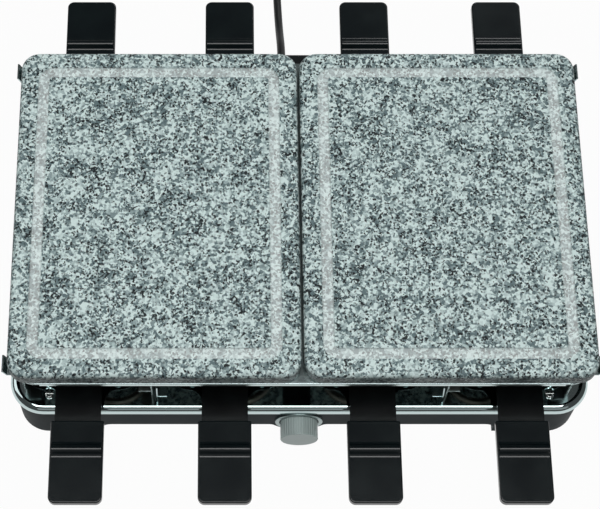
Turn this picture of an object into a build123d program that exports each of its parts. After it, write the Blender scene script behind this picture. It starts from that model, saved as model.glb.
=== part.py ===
from build123d import *
import math
import os

os.makedirs("parts", exist_ok=True)

# Millimetres, +Z up, the table at zero, +Y away from the knob. The origin is under the middle of the grill.

# Clearances
slide_clearance = 0.3
fit_clearance = 0.05
seat_clearance = 0.1
wall_clearance = 0.6
overrun = 1.0
pick_margin = 0.01

# Granite plates
stone_width = 229.2
stone_depth = 287.0
stone_thickness = 15.0
stone_gap = 1.6
stone_corner_radius = 15.0
stone_top_round = 4.5
stone_bottom_chamfer = 1.0
groove_inset = 19.5
groove_width = 9.0
groove_depth = 1.8
groove_corner_radius = 7.5

# Base shell
shell_width = 464.0
shell_depth = 292.0
shell_corner_radius = 24.5
shell_wall = 2.2
shell_top = 52.0
skirt_bottom = 20.0
foot_width = 70.0
foot_depth = 55.0
foot_blend_radius = 8.0
sole_thickness = 2.0
boss_radius = 5.0
bottom_plate_thickness = 1.2
bottom_screw_inset = 14.0

# Rubber feet
rubber_radius = 9.0
rubber_height = 3.0
rubber_recess = 1.0

# Deck tray
tray_sheet = 1.0
rim_side_overhang = 3.5
rim_end_overhang = 1.5
rim_top_height = 5.0
rim_drop = 1.5
rim_dome_radius = 6.0
rim_edge_round = 0.4
crest_width = 5.0
tray_slope_width = 2.5
rest_rib_width = 6.0
rest_rib_edge_inset = 19.5
rest_rib_round = 0.8
dimple_radius = 5.6
dimple_depth = 1.5
tray_screw_side_inset = 28.5
tray_screw_end_inset = 15.0

# Top frame
frame_sheet = 1.2
frame_beyond_panel = 2.6
frame_corner_radius = 22.0
lip_end_inset = 25.0
lip_drop = 4.0
lip_proud = 0.7
frame_bend_radius = 0.9
web_width = 24.0
frame_side_border = 17.0
frame_end_border = 16.0
opening_corner_radius = 8.0
bay_height = 60.8
lug_width = 14.0
lug_centre_y = 129.5
lug_height = 7.0
lug_flare = 3.0
lug_reach = 17.0
lug_clearance = 0.5

# Posts, side panels and bay dividers
post_from_bay_edge = 2.4
post_depth = 20.0
post_end_y = 128.7
post_flange = 11.0
panel_length = 230.0
panel_flange = 11.0
vent_width = 4.0
vent_height = 26.0
vent_pitch = 12.0
vent_count = 14
divider_from_bay_edge = 2.4
divider_height = 20.0
divider_end_y = 139.0
divider_slant = 5.9
divider_flange = 7.0

# Small screws
screw_radius = 2.0
screw_head_radius = 3.6
screw_head_height = 2.2
screw_length = 9.0
screw_slot_width = 0.9
screw_slot_depth = 0.9

# Heating elements
element_radius = 3.25
element_drop = 10.8
element_leg_x = 22.0
element_leg_pitch = 52.0
element_front_y = 95.0
element_back_y = 80.0
element_return_y = 118.0
element_corner_radius = 14.0
element_end_spacing = 16.0
element_pin_radius = 1.5
element_pin_length = 5.0
element_stub = 1.0
hanger_y = 60.0
hanger_sheet = 1.2
hanger_skirt = 2.0
hanger_overlap = 5.0
hanger_side_overlap = 1.8
hanger_dip = 4.0

# Terminal cover and block
cover_half_width = 48.0
cover_depth = 9.6
cover_wall = 1.8
cover_height = 19.5
cover_round = 1.5
frame_notch = 3.3
tab_drop = 17.8
block_half_width = 43.0
block_height = 12.0
block_depth = 6.4
block_clearance = 1.3

# Wire riser and wiring
riser_width = 16.0
riser_depth = 14.0
riser_wall = 1.0
riser_y = 128.0
riser_window = 12.0
wire_radius = 1.25
wire_bend = 8.0
wire_spread = 3.5
wire_hole_radius = 2.0

# Knob and thermostat
knob_z = 31.0
knob_radius = 15.3
knob_length = 15.8
knob_recess_radius = 11.0
knob_recess_depth = 4.0
knob_round = 0.8
knob_gap = 1.2
flute_radius = 0.62
flute_count = 42
knob_bore_depth = 11.0
bezel_radius = 19.4
bezel_thickness = 2.2
tongue_radius = 24.0
tongue_blend_radius = 6.0
bush_radius = 5.0
bush_length = 7.0
thermostat_width = 42.0
thermostat_depth = 26.0
thermostat_low = 22.0
thermostat_high = 46.0
thermostat_corner = 2.0
thermostat_nut_radius = 8.0
shaft_radius = 3.0
shaft_length = 22.0
terminal_tab_width = 6.3
terminal_tab_length = 8.0
terminal_tab_thickness = 0.8
wire_spacing = 4.4
wire_rise_y = 126.0

# Pans
# Pan pitch over the shell's width, and each pan's place over the pan pitch
pan_pitch_share = 0.2529
front_pan_shares = (-1.518, -0.518, 0.492, 1.5)
rear_pan_shares = (-1.518, -0.482, 0.524, 1.518)
pan_sheet = 1.2
dish_side_gap = 22.35
dish_length = 101.0
dish_end_y = 122.0
dish_corner_radius = 18.0
dish_flange = 2.5
dish_draft = 2.6
dish_height = 12.7
neck_width = 37.0
neck_blend_radius = 10.8
neck_outer_blend_radius = 2.5
neck_in_grip = 44.0
dish_floor_round = 3.0

# Pan grips
grip_start_y = 160.0
grip_width = 42.5
grip_length = 67.5
grip_thickness = 7.0
grip_above_neck = 3.0
grip_corner_radius = 5.5
grip_inner_corner_radius = 1.2
grip_edge_round = 1.2
rib_centre = 24.0
rib_half_width = 6.5
rib_height = 4.2
rib_end_inset = 1.5
rib_end_round = 0.7

# Mains lead
cord_radius = 3.6
cord_x = -10.0
cord_exit_z = 33.0
gland_length = 25.5
gland_base_radius = 8.0
gland_tip_radius = 5.4
gland_collar_radius = 10.5
gland_collar = 2.5
gland_neck_radius = 6.0
gland_nut_radius = 9.5
gland_nut_thickness = 4.0
cord_laid_points = [(-10.0, 201.5, 33.0), (-11.0, 240.0, 3.6), (-13.0, 286.0, 3.6)]
coil_centre_x = -61.0
coil_centre_y = 334.0
coil_radius = 48.0
coil_pitch = 7.75
# Each crossing's step inwards from the coil's radius, in pitches
coil_step_shares = (0, 0.5, 1, 1.5, 2.25, 2.25, 1.5, 1, 0.5, 0, -0.5)
tail_share = 0.45
tail_points = [(0.0, 15.0, 0.0), (0.0, 37.0, 7.05), (0.0, 57.0, 7.05)]
plug_sleeve_length = 16.0
plug_sleeve_radius = 6.2
plug_body_length = 34.0
plug_face_radius = 18.4
plug_neck_radius = 9.5
plug_face_length = 8.0
pin_radius = 2.4
pin_length = 19.0
pin_spacing = 19.0
pin_root = 4.0

# Heights and places that follow
shell_bottom = rubber_height - rubber_recess
tray_floor = shell_top + tray_sheet
rim_top = shell_top + rim_top_height
rim_low = shell_top - rim_drop
rim_width = shell_width + 2 * rim_side_overhang
rim_depth = shell_depth + 2 * rim_end_overhang
rim_corner_radius = shell_corner_radius + rim_side_overhang
pan_bottom = rim_top + slide_clearance
pan_top = pan_bottom + dish_height
neck_bottom = pan_top - pan_sheet
frame_under = tray_floor + bay_height
frame_top = frame_under + frame_sheet
stone_top = frame_top + stone_thickness
frame_depth = stone_depth + 2 * lip_proud
element_z = frame_under - element_drop
pan_pitch = pan_pitch_share * shell_width
dish_width = pan_pitch - dish_side_gap
rest_rib_spacing = dish_width - 2 * rest_rib_edge_inset
bay_centres_x = [side * (step + 1 / 2) * pan_pitch for side in (-1, 1) for step in (0, 1)]
panel_outer_x = (
    max(rear_pan_shares) * pan_pitch + dish_width / 2 + wall_clearance + slide_clearance + tray_sheet
)
panel_screw_x = panel_outer_x - panel_flange / 2
panel_screw_y = panel_length * 0.4
frame_width = 2 * (panel_outer_x + frame_beyond_panel)
post_x = pan_pitch + post_from_bay_edge
divider_x = pan_pitch - divider_from_bay_edge
tray_screw_x = shell_width / 2 - tray_screw_side_inset
tray_screw_y = shell_depth / 2 - tray_screw_end_inset
shell_front_y = shell_depth / 2
tab_back_y = frame_depth / 2 - frame_notch
tab_front_y = tab_back_y - frame_sheet
knob_back = shell_front_y + knob_gap
knob_face = knob_back + knob_length
gland_end_y = shell_front_y + gland_collar + gland_length
plug_axis_z = plug_face_radius


def keep(builder, label):
    """Labels a finished piece and writes it to its own file."""
    builder.part.label = label
    export_step(builder.part, f"parts/{label}.step")


def mirrored(x, y):
    """The four places that mirror one place across both middle planes."""
    return [(side * x, end * y) for side in (-1, 1) for end in (-1, 1)]


# Granite plates


def make_stone(label, side):
    middle_x = side * (stone_gap + stone_width) / 2
    groove_outer_inset = groove_inset - groove_width / 2
    groove_inner_inset = groove_inset + groove_width / 2
    with BuildPart() as stone:
        with BuildSketch(Plane.XY.offset(frame_top)):
            with Locations((middle_x, 0)):
                RectangleRounded(stone_width, stone_depth, stone_corner_radius)
        extrude(amount=stone_thickness)
        fillet(stone.edges().group_by(Axis.Z)[-1], radius=stone_top_round)
        chamfer(stone.edges().group_by(Axis.Z)[0], length=stone_bottom_chamfer)
        with BuildSketch(Plane.XY.offset(stone_top)):
            with Locations((middle_x, 0)):
                RectangleRounded(
                    stone_width - 2 * groove_outer_inset,
                    stone_depth - 2 * groove_outer_inset,
                    groove_corner_radius + groove_width / 2,
                )
                RectangleRounded(
                    stone_width - 2 * groove_inner_inset,
                    stone_depth - 2 * groove_inner_inset,
                    groove_corner_radius - groove_width / 2,
                    mode=Mode.SUBTRACT,
                )
        extrude(amount=-groove_depth, mode=Mode.SUBTRACT)
        floor_edges = stone.edges().filter_by_position(
            Axis.Z,
            stone_top - groove_depth - pick_margin,
            stone_top - groove_depth + pick_margin,
        )
        fillet(floor_edges, radius=groove_depth * 0.8)
    keep(stone, label)


make_stone("stone_left", -1)
make_stone("stone_right", 1)

# Base shell with its four feet and the tongue behind the knob

foot_inner_x = shell_width / 2 - foot_width
foot_inner_y = shell_depth / 2 - foot_depth
gap_height = skirt_bottom - shell_bottom
bottom_screw_x = foot_inner_x + bottom_screw_inset
bottom_screw_y = shell_depth / 2 - bottom_screw_inset


def gap_profile(half_width):
    """The space under the skirt between two feet, with its upper corners rounded."""
    low = shell_bottom - overrun
    with Locations((0, (skirt_bottom + low) / 2)):
        Rectangle(2 * half_width, skirt_bottom - low)


with BuildPart() as base_shell:
    with BuildSketch(Plane.XY.offset(shell_bottom)):
        RectangleRounded(shell_width, shell_depth, shell_corner_radius)
    extrude(amount=shell_top - shell_bottom)
    with BuildSketch(Plane.YZ) as side_gap:
        gap_profile(foot_inner_y)
        fillet(side_gap.vertices().group_by(Axis.Y)[-1], radius=foot_blend_radius)
    extrude(amount=shell_width, both=True, mode=Mode.SUBTRACT)
    with BuildSketch(Plane.XZ) as rear_gap:
        gap_profile(foot_inner_x)
        fillet(rear_gap.vertices().group_by(Axis.Y)[-1], radius=foot_blend_radius)
    extrude(amount=-shell_depth, mode=Mode.SUBTRACT)
    with BuildSketch(Plane.XZ) as front_gap:
        gap_profile(foot_inner_x)
        fillet(front_gap.vertices().group_by(Axis.Y)[-1], radius=foot_blend_radius)
        with Locations((0, knob_z)):
            Circle(tongue_radius, mode=Mode.SUBTRACT)
        inner_corners = front_gap.vertices().filter_by(
            lambda v: abs(v.X) < tongue_radius and abs(v.Y - skirt_bottom) < pick_margin
        )
        fillet(inner_corners, radius=tongue_blend_radius)
    extrude(amount=shell_depth, mode=Mode.SUBTRACT)
    with BuildSketch(Plane.XY.offset(shell_bottom - overrun)):
        Rectangle(2 * foot_inner_x, shell_depth - 2 * shell_wall)
    extrude(amount=gap_height + overrun, mode=Mode.SUBTRACT)
    with BuildSketch(Plane.XY.offset(skirt_bottom)):
        RectangleRounded(
            shell_width - 2 * shell_wall,
            shell_depth - 2 * shell_wall,
            shell_corner_radius - shell_wall,
        )
    extrude(amount=shell_top - skirt_bottom + overrun, mode=Mode.SUBTRACT)
    with BuildSketch(Plane.XY.offset(shell_bottom + sole_thickness)):
        RectangleRounded(
            shell_width - 2 * shell_wall,
            shell_depth - 2 * shell_wall,
            shell_corner_radius - shell_wall,
        )
        Rectangle(2 * (foot_inner_x + shell_wall), shell_depth, mode=Mode.SUBTRACT)
        Rectangle(shell_width, 2 * (foot_inner_y + shell_wall), mode=Mode.SUBTRACT)
    extrude(amount=gap_height - sole_thickness, mode=Mode.SUBTRACT)
    with BuildSketch(Plane.XY.offset(shell_bottom + sole_thickness)):
        with Locations(*mirrored(tray_screw_x, tray_screw_y)):
            Circle(boss_radius)
    extrude(amount=shell_top - dimple_depth - shell_bottom - sole_thickness)
    with BuildSketch(Plane.XY.offset(shell_top - dimple_depth)):
        with Locations(*mirrored(tray_screw_x, tray_screw_y)):
            Circle(screw_radius + fit_clearance)
    extrude(amount=-screw_length - overrun, mode=Mode.SUBTRACT)
    with BuildSketch(Plane.XY.offset(shell_bottom)):
        with Locations(*mirrored(tray_screw_x, tray_screw_y)):
            Circle(rubber_radius + fit_clearance)
    extrude(amount=rubber_recess, mode=Mode.SUBTRACT)
    with BuildSketch(Plane.XY.offset(shell_bottom + sole_thickness)):
        with Locations(*mirrored(bottom_screw_x, bottom_screw_y)):
            Circle(boss_radius)
    extrude(amount=gap_height - sole_thickness)
    with BuildSketch(Plane.XY.offset(skirt_bottom)):
        with Locations(*mirrored(bottom_screw_x, bottom_screw_y)):
            Circle(screw_radius + fit_clearance)
    extrude(amount=-screw_length - overrun, mode=Mode.SUBTRACT)
    with BuildSketch(Plane.XZ.offset(shell_front_y + overrun)):
        with Locations((0, knob_z)):
            Circle(bush_radius + fit_clearance)
    extrude(amount=-shell_wall - 2 * overrun, mode=Mode.SUBTRACT)
    with BuildSketch(Plane.XZ.offset(-shell_front_y - overrun)):
        with Locations((cord_x, cord_exit_z)):
            Circle(gland_neck_radius + fit_clearance)
    extrude(amount=shell_wall + 2 * overrun, mode=Mode.SUBTRACT)
keep(base_shell, "base_shell")

# Bottom plate inside the skirt, carried by the inner walls of the feet

with BuildPart() as bottom_plate:
    with BuildSketch(Plane.XY.offset(skirt_bottom)):
        RectangleRounded(
            shell_width - 2 * shell_wall - 2 * slide_clearance,
            shell_depth - 2 * shell_wall - 2 * slide_clearance,
            shell_corner_radius - shell_wall - slide_clearance,
        )
        with Locations(*mirrored(tray_screw_x, tray_screw_y)):
            Circle(boss_radius + slide_clearance, mode=Mode.SUBTRACT)
        with Locations(*mirrored(bottom_screw_x, bottom_screw_y)):
            Circle(screw_radius + fit_clearance, mode=Mode.SUBTRACT)
    extrude(amount=bottom_plate_thickness)
keep(bottom_plate, "bottom_plate")

# Rubber feet

with BuildPart() as rubber_feet:
    with BuildSketch(Plane.XY):
        with Locations(*mirrored(tray_screw_x, tray_screw_y)):
            Circle(rubber_radius)
    extrude(amount=rubber_height)
    chamfer(rubber_feet.edges().group_by(Axis.Z)[0], length=0.4 * rubber_recess)
keep(rubber_feet, "rubber_feet")

# Deck tray with its rolled rim, sloped recess and raised rest ribs

crest_inner_width = rim_width - 2 * crest_width
crest_inner_depth = rim_depth - 2 * crest_width
floor_width = crest_inner_width - 2 * tray_slope_width
floor_depth = crest_inner_depth - 2 * tray_slope_width
floor_corner_radius = rim_corner_radius - crest_width - tray_slope_width
rib_start_y = dish_end_y - dish_length
rib_end_y = tray_screw_y - dimple_radius - overrun
rest_rib_places = [
    (x + side * rest_rib_spacing / 2, end * (rib_start_y + rib_end_y) / 2)
    for x in bay_centres_x
    for side in (-1, 1)
    for end in (-1, 1)
]

with BuildPart() as deck_tray:
    with BuildSketch(Plane.XY.offset(rim_low)):
        RectangleRounded(rim_width, rim_depth, rim_corner_radius)
    extrude(amount=rim_top - rim_low)
    fillet(deck_tray.edges().group_by(Axis.Z)[-1], radius=rim_dome_radius)
    fillet(deck_tray.edges().group_by(Axis.Z)[0], radius=rim_edge_round)
    with BuildSketch(Plane.XY.offset(rim_top)):
        RectangleRounded(
            crest_inner_width, crest_inner_depth, rim_corner_radius - crest_width
        )
    with BuildSketch(Plane.XY.offset(tray_floor)):
        RectangleRounded(floor_width, floor_depth, floor_corner_radius)
    loft(ruled=True, mode=Mode.SUBTRACT)
    with BuildSketch(Plane.XY.offset(rim_low)):
        RectangleRounded(
            shell_width + 2 * slide_clearance,
            shell_depth + 2 * slide_clearance,
            shell_corner_radius + slide_clearance,
        )
    extrude(amount=shell_top - rim_low, mode=Mode.SUBTRACT)
    with BuildSketch(Plane.XY.offset(tray_floor)):
        with Locations(*rest_rib_places):
            RectangleRounded(
                rest_rib_width, rib_end_y - rib_start_y, 0.45 * rest_rib_width
            )
    extrude(amount=pan_bottom - tray_floor)
    fillet(
        deck_tray.edges().filter_by_position(
            Axis.Z, pan_bottom - pick_margin, pan_bottom + pick_margin
        ),
        radius=rest_rib_round,
    )
    with BuildSketch(Plane.XY.offset(shell_top - dimple_depth)):
        with Locations(*mirrored(tray_screw_x, tray_screw_y)):
            Circle(dimple_radius + tray_sheet)
    extrude(amount=dimple_depth)
    with BuildSketch(Plane.XY.offset(tray_floor)):
        with Locations(*mirrored(tray_screw_x, tray_screw_y)):
            Circle(dimple_radius)
    extrude(amount=-dimple_depth, mode=Mode.SUBTRACT)
    with BuildSketch(Plane.XY.offset(shell_top - dimple_depth - overrun)):
        with Locations(*mirrored(tray_screw_x, tray_screw_y)):
            Circle(screw_radius + fit_clearance)
        with Locations(*mirrored(post_x + post_flange / 2, post_end_y - post_depth / 2)):
            Circle(screw_radius + fit_clearance)
        with Locations(*mirrored(panel_screw_x, panel_screw_y)):
            Circle(screw_radius + fit_clearance)
        with Locations((0, riser_y)):
            Rectangle(riser_width - 4 * riser_wall, riser_depth - 4 * riser_wall)
    extrude(amount=tray_floor + overrun - shell_top + dimple_depth + overrun, mode=Mode.SUBTRACT)
keep(deck_tray, "deck_tray")

# Top frame of sheet steel with its lips, lugs and the folded-down terminal tab

frame_half_width = frame_width / 2
frame_half_depth = frame_depth / 2
opening_outer_x = frame_half_width - frame_side_border
opening_inner_x = web_width / 2
opening_half_depth = frame_half_depth - frame_end_border
notch_half_width = cover_half_width + 2 * slide_clearance
lug_inner_x = stone_gap / 2 + stone_width + lug_clearance
element_end_x = [
    side * (element_leg_x + step * element_end_spacing) for side in (-1, 1) for step in (0, 1)
]
cover_screw_x = (element_leg_x + wire_spread) / 2

with BuildPart() as top_frame:
    with BuildSketch(Plane.XY.offset(frame_under)):
        RectangleRounded(frame_width, frame_depth, frame_corner_radius)
        for side in (-1, 1):
            with Locations((side * (opening_outer_x + opening_inner_x) / 2, 0)):
                RectangleRounded(
                    opening_outer_x - opening_inner_x,
                    2 * opening_half_depth,
                    opening_corner_radius,
                    mode=Mode.SUBTRACT,
                )
    extrude(amount=frame_sheet)
    with BuildSketch(Plane.XY.offset(frame_top - lip_drop)):
        for end in (-1, 1):
            with Locations((0, end * (frame_half_depth - frame_sheet / 2))):
                Rectangle(2 * (frame_half_width - lip_end_inset), frame_sheet)
    extrude(amount=lip_drop)
    lip_bends = top_frame.edges().filter_by(Axis.X).filter_by_position(
        Axis.Z, frame_top - pick_margin, frame_top + pick_margin
    )
    fillet(
        [edge for edge in lip_bends if abs(abs(edge.center().Y) - frame_half_depth) < pick_margin],
        radius=frame_bend_radius,
    )
    with BuildSketch(Plane.XY.offset(frame_top - lip_drop - overrun)):
        with Locations((0, frame_half_depth)):
            Rectangle(2 * notch_half_width, 2 * frame_notch)
    extrude(amount=lip_drop + 2 * overrun, mode=Mode.SUBTRACT)
    with BuildSketch(Plane.XZ.offset(-tab_front_y)):
        with Locations((0, frame_top - (tab_drop + frame_sheet) / 2)):
            Rectangle(2 * cover_half_width, tab_drop + frame_sheet)
        with Locations(*[(x, element_z) for x in element_end_x]):
            Circle(element_radius + fit_clearance, mode=Mode.SUBTRACT)
        with Locations(*[(side * wire_spread, element_z) for side in (-1, 1)]):
            Circle(wire_hole_radius, mode=Mode.SUBTRACT)
        with Locations(*[(side * cover_screw_x, element_z) for side in (-1, 1)]):
            Circle(screw_radius + fit_clearance, mode=Mode.SUBTRACT)
    extrude(amount=-frame_sheet)
    for side in (-1, 1):
        for end in (-1, 1):
            with BuildSketch(Plane.XZ.offset(-end * lug_centre_y)):
                with BuildLine():
                    Polyline(
                        (side * (opening_outer_x + overrun), frame_under),
                        (side * (lug_inner_x + frame_sheet / 2), frame_under),
                        (side * (lug_inner_x + lug_flare + frame_sheet / 2), frame_top + lug_height),
                        (side * (lug_inner_x + lug_flare - frame_sheet / 2), frame_top + lug_height),
                        (side * lug_inner_x, frame_top),
                        (side * (opening_outer_x + overrun), frame_top),
                        close=True,
                    )
                make_face()
            extrude(amount=lug_width / 2, both=True)
    with BuildSketch(Plane.XY.offset(frame_under)):
        with Locations(*mirrored(post_x + post_flange / 2, post_end_y + post_flange / 2)):
            Circle(screw_radius + fit_clearance)
        with Locations(*mirrored(panel_screw_x, panel_screw_y)):
            Circle(screw_radius + fit_clearance)
    extrude(amount=frame_sheet, mode=Mode.SUBTRACT)
keep(top_frame, "top_frame")

# Posts between the deck and the top frame

post_screw_x = post_x + post_flange / 2
post_low_screw_y = post_end_y - post_depth / 2
post_high_screw_y = post_end_y + post_flange / 2


def make_post(label, side, end):
    middle_y = end * (post_end_y - post_depth / 2)
    with BuildPart() as post:
        with BuildSketch(Plane.XY.offset(tray_floor)):
            with Locations((side * (post_x + frame_sheet / 2), middle_y)):
                Rectangle(frame_sheet, post_depth)
        extrude(amount=bay_height)
        with BuildSketch(Plane.XY.offset(tray_floor)):
            with Locations((side * post_screw_x, middle_y)):
                Rectangle(post_flange, post_depth)
            with Locations((side * post_screw_x, end * post_low_screw_y)):
                Circle(screw_radius + fit_clearance, mode=Mode.SUBTRACT)
        extrude(amount=frame_sheet)
        with BuildSketch(Plane.XY.offset(frame_under - frame_sheet)):
            with Locations((side * post_screw_x, middle_y + end * post_flange / 2)):
                Rectangle(post_flange, post_depth + post_flange)
            with Locations((side * post_screw_x, end * post_high_screw_y)):
                Circle(screw_radius + fit_clearance, mode=Mode.SUBTRACT)
        extrude(amount=frame_sheet)
        with BuildSketch(Plane.YZ.offset(side * post_x)):
            with Locations((end * element_return_y, element_z)):
                Circle(element_radius + wall_clearance)
        extrude(amount=side * 2 * frame_sheet, mode=Mode.SUBTRACT)
    keep(post, label)


make_post("support_post_front_left", -1, -1)
make_post("support_post_front_right", 1, -1)
make_post("support_post_rear_left", -1, 1)
make_post("support_post_rear_right", 1, 1)

# Vented side panels


def make_side_panel(label, side):
    middle_x = side * (panel_outer_x - panel_flange / 2)
    with BuildPart() as side_panel:
        with BuildSketch(Plane.XY.offset(tray_floor)):
            with Locations((middle_x, 0)):
                Rectangle(panel_flange, panel_length)
        extrude(amount=bay_height)
        with BuildSketch(Plane.XY.offset(tray_floor + frame_sheet)):
            with Locations((middle_x - side * tray_sheet, 0)):
                Rectangle(panel_flange, panel_length)
        extrude(amount=bay_height - 2 * frame_sheet, mode=Mode.SUBTRACT)
        with BuildSketch(Plane.YZ.offset(side * panel_outer_x)):
            with Locations((0, tray_floor + bay_height / 2)):
                with GridLocations(vent_pitch, 0, vent_count, 1):
                    SlotOverall(vent_height, vent_width, rotation=90)
        extrude(amount=-side * tray_sheet, mode=Mode.SUBTRACT)
        with BuildSketch(Plane.XY.offset(tray_floor)):
            with Locations(*[(side * panel_screw_x, end * panel_screw_y) for end in (-1, 1)]):
                Circle(screw_radius + fit_clearance)
        extrude(amount=bay_height, mode=Mode.SUBTRACT)
    keep(side_panel, label)


make_side_panel("side_panel_left", -1)
make_side_panel("side_panel_right", 1)

# Bay dividers, a low fence beside each pair of posts


def make_divider(label, side):
    with BuildPart() as divider:
        with BuildSketch(Plane.YZ.offset(side * divider_x)):
            with BuildLine():
                Polyline(
                    (-divider_end_y, tray_floor),
                    (divider_end_y, tray_floor),
                    (divider_end_y - divider_slant, tray_floor + divider_height),
                    (divider_slant - divider_end_y, tray_floor + divider_height),
                    close=True,
                )
            make_face()
        extrude(amount=side * tray_sheet)
        with BuildSketch(Plane.XY.offset(tray_floor)):
            with Locations((side * (divider_x - divider_flange / 2), 0)):
                Rectangle(divider_flange, 2 * (divider_end_y - divider_slant))
        extrude(amount=tray_sheet)
    keep(divider, label)


make_divider("bay_divider_left", -1)
make_divider("bay_divider_right", 1)

# Screws: each a low domed head with a slot, and a plain shank


def screw_set(label, plane, places, length, head_round_share=0.6):
    with BuildPart() as screws:
        with BuildSketch(plane):
            with Locations(*places):
                Circle(screw_head_radius)
        extrude(amount=screw_head_height)
        crowns = screws.faces().filter_by(
            lambda face: abs(plane.to_local_coords(face.center()).Z - screw_head_height) < pick_margin
        )
        fillet(crowns.edges(), radius=head_round_share * screw_head_height)
        with BuildSketch(plane.offset(screw_head_height)):
            with Locations(*places):
                Rectangle(2 * screw_head_radius, screw_slot_width)
        extrude(amount=-screw_slot_depth, mode=Mode.SUBTRACT)
        with BuildSketch(plane):
            with Locations(*places):
                Circle(screw_radius)
        extrude(amount=-length)
    keep(screws, label)


def facing_down(height):
    return Plane(origin=(0, 0, height), x_dir=(1, 0, 0), z_dir=(0, 0, -1))


def downward(places):
    return [(x, -y) for x, y in places]


screw_set(
    "tray_screws",
    Plane.XY.offset(tray_floor - dimple_depth),
    mirrored(tray_screw_x, tray_screw_y),
    screw_length,
)
screw_set(
    "bottom_screws",
    Plane.XY.offset(skirt_bottom + bottom_plate_thickness),
    mirrored(bottom_screw_x, bottom_screw_y),
    screw_length,
)
low_places = mirrored(post_screw_x, post_low_screw_y) + mirrored(panel_screw_x, panel_screw_y)
high_places = mirrored(post_screw_x, post_high_screw_y) + mirrored(panel_screw_x, panel_screw_y)
screw_set(
    "deck_screws",
    Plane.XY.offset(tray_floor + frame_sheet),
    low_places,
    frame_sheet + tray_sheet + screw_head_radius,
)
screw_set(
    "frame_screws",
    facing_down(frame_under - frame_sheet),
    downward(high_places),
    2 * frame_sheet - slide_clearance,
)

# Heating elements: one bent tube on each side, with a pin in each end

element_end_y = tab_back_y + element_stub
element_turn = element_leg_pitch / 2
element_leg_places = [element_leg_x + step * element_leg_pitch for step in range(4)]


def make_element(label, side):
    first, second, third, fourth = [side * x for x in element_leg_places]
    last = side * (element_leg_x + element_end_spacing)
    end_plane = Plane.XZ.offset(-element_end_y)
    with BuildPart() as element:
        with BuildLine(Plane.XY.offset(element_z)) as path:
            Line((first, element_end_y), (first, -element_front_y))
            ThreePointArc(
                (first, -element_front_y),
                ((first + second) / 2, -element_front_y - element_turn),
                (second, -element_front_y),
            )
            Line((second, -element_front_y), (second, element_back_y))
            ThreePointArc(
                (second, element_back_y),
                ((second + third) / 2, element_back_y + element_turn),
                (third, element_back_y),
            )
            Line((third, element_back_y), (third, -element_front_y))
            ThreePointArc(
                (third, -element_front_y),
                ((third + fourth) / 2, -element_front_y - element_turn),
                (fourth, -element_front_y),
            )
            FilletPolyline(
                (fourth, -element_front_y),
                (fourth, element_return_y),
                (last, element_return_y),
                (last, element_end_y),
                radius=element_corner_radius,
            )
        with BuildSketch(end_plane):
            with Locations((first, element_z)):
                Circle(element_radius)
        sweep(path=path.wires()[0])
        with BuildSketch(end_plane):
            with Locations((first, element_z), (last, element_z)):
                Circle(element_pin_radius)
        extrude(amount=-element_pin_length)
    keep(element, label)


make_element("heating_element_left", -1)
make_element("heating_element_right", 1)

# Hanger plates, welded under the frame, that cradle the elements

hanger_low = element_z - element_radius - hanger_skirt
hanger_high = frame_under - hanger_dip
cradle_radius = element_radius + fit_clearance


def make_hanger(label, side, end):
    with BuildPart() as hanger:
        with BuildSketch(Plane.XZ.offset(-end * hanger_y)):
            with BuildLine():
                Polyline(
                    (side * (opening_inner_x - hanger_overlap), hanger_low),
                    (side * (opening_outer_x + hanger_side_overlap), hanger_low),
                    (side * (opening_outer_x + hanger_side_overlap), frame_under),
                    (side * opening_outer_x, frame_under),
                    (side * (opening_outer_x - hanger_dip), hanger_high),
                    (side * (opening_inner_x + hanger_dip), hanger_high),
                    (side * opening_inner_x, frame_under),
                    (side * (opening_inner_x - hanger_overlap), frame_under),
                    close=True,
                )
            make_face()
            with Locations(*[(side * x, element_z) for x in element_leg_places]):
                Circle(cradle_radius, mode=Mode.SUBTRACT)
            with Locations(*[(side * x, hanger_high) for x in element_leg_places]):
                Rectangle(2 * cradle_radius, 2 * (hanger_high - element_z), mode=Mode.SUBTRACT)
        extrude(amount=hanger_sheet / 2, both=True)
    keep(hanger, label)


make_hanger("element_hanger_front_left", -1, -1)
make_hanger("element_hanger_front_right", 1, -1)
make_hanger("element_hanger_rear_left", -1, 1)
make_hanger("element_hanger_rear_right", 1, 1)

# Terminal block, its cover and the two screws that hold both on the tab

block_front_y = tab_back_y + block_clearance
cover_back_y = tab_back_y + cover_depth
cover_low = frame_under - cover_height

with BuildPart() as terminal_block:
    with BuildSketch(Plane.XZ.offset(-block_front_y)):
        with Locations((0, element_z)):
            Rectangle(2 * block_half_width, block_height)
        with Locations(*[(side * cover_screw_x, element_z) for side in (-1, 1)]):
            Circle(screw_radius + fit_clearance, mode=Mode.SUBTRACT)
    extrude(amount=-block_depth)
    with BuildSketch(Plane.XZ.offset(-block_front_y)):
        with Locations(*[(x, element_z) for x in element_end_x]):
            Circle(element_pin_radius + fit_clearance)
        with Locations(*[(side * wire_spread, element_z) for side in (-1, 1)]):
            Circle(wire_radius + fit_clearance)
    extrude(amount=-element_pin_length, mode=Mode.SUBTRACT)
keep(terminal_block, "terminal_block")

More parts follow.
